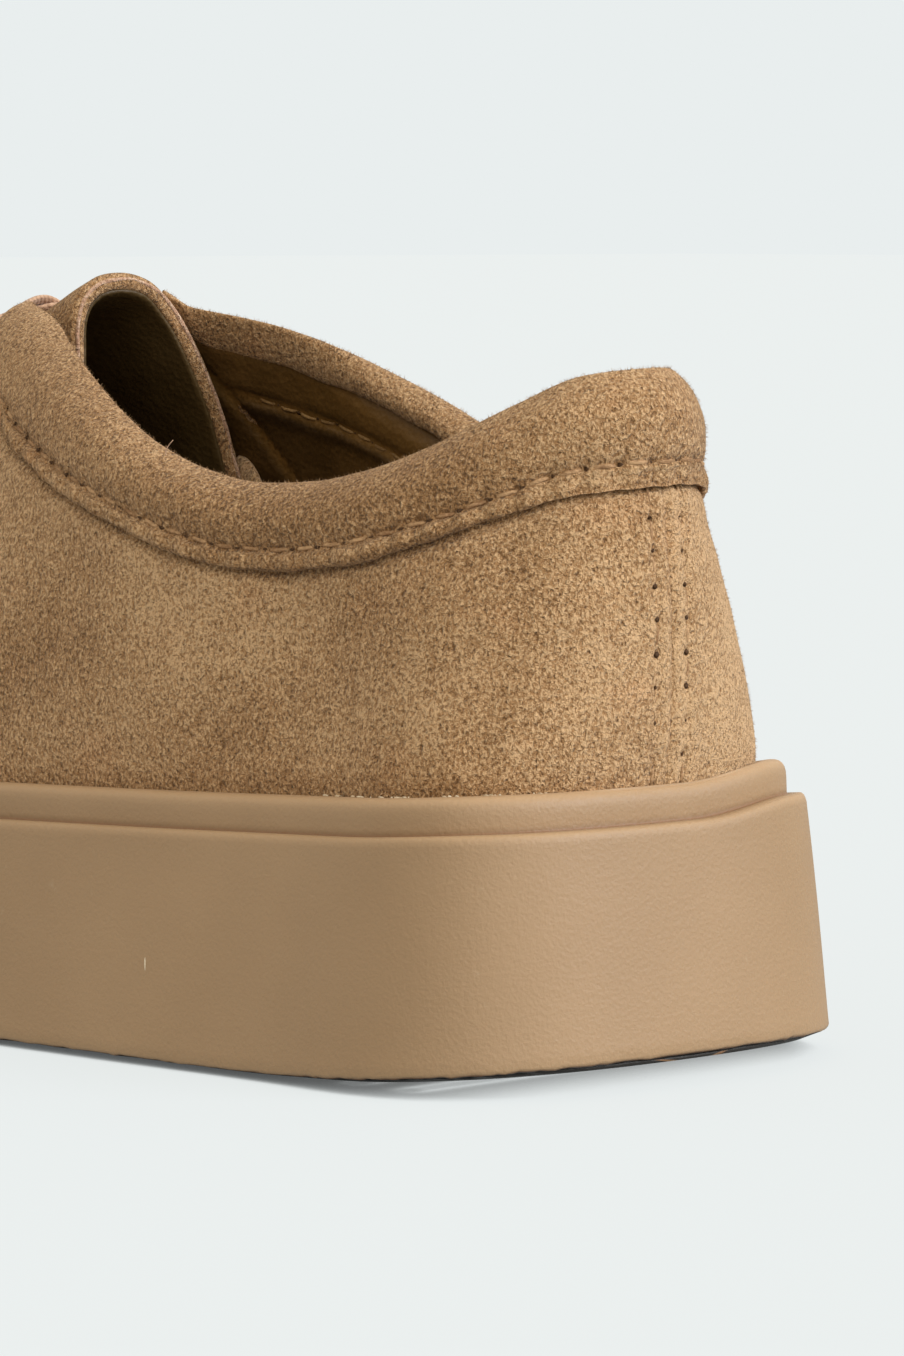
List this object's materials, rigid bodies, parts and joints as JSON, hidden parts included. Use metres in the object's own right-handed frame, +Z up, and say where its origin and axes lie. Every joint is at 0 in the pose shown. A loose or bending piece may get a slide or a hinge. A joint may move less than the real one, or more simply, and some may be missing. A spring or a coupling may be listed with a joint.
{
  "type": "derby shoe",
  "caption": "Low suede derby shoe for the left foot: open lacing, padded rolled collar, arched tongue and a thick flared rubber cupsole with a rounded rim.",
  "frame": {"origin": "middle of the bounding box, on the floor plane under the sole", "axes": "toe towards -Y, heel towards +Y, outer side of this left shoe towards +X, up is +Z"},
  "size_m": [0.1054, 0.2996, 0.1044],
  "materials": {
    "suede": "tan suede, short mottled nap, no gloss",
    "gum_rubber": "fine satin grain, moulded gum rubber",
    "lining_leather": "smooth olive-brown lining leather, low sheen",
    "lace": "flat woven cotton, matt"
  },
  "bodies": {
    "root": {"cupsole": "gum_rubber", "insole": "lining_leather", "upper": "suede", "collar": "suede", "tongue": "suede", "laces": "lace"}
  },
  "joints": []
}
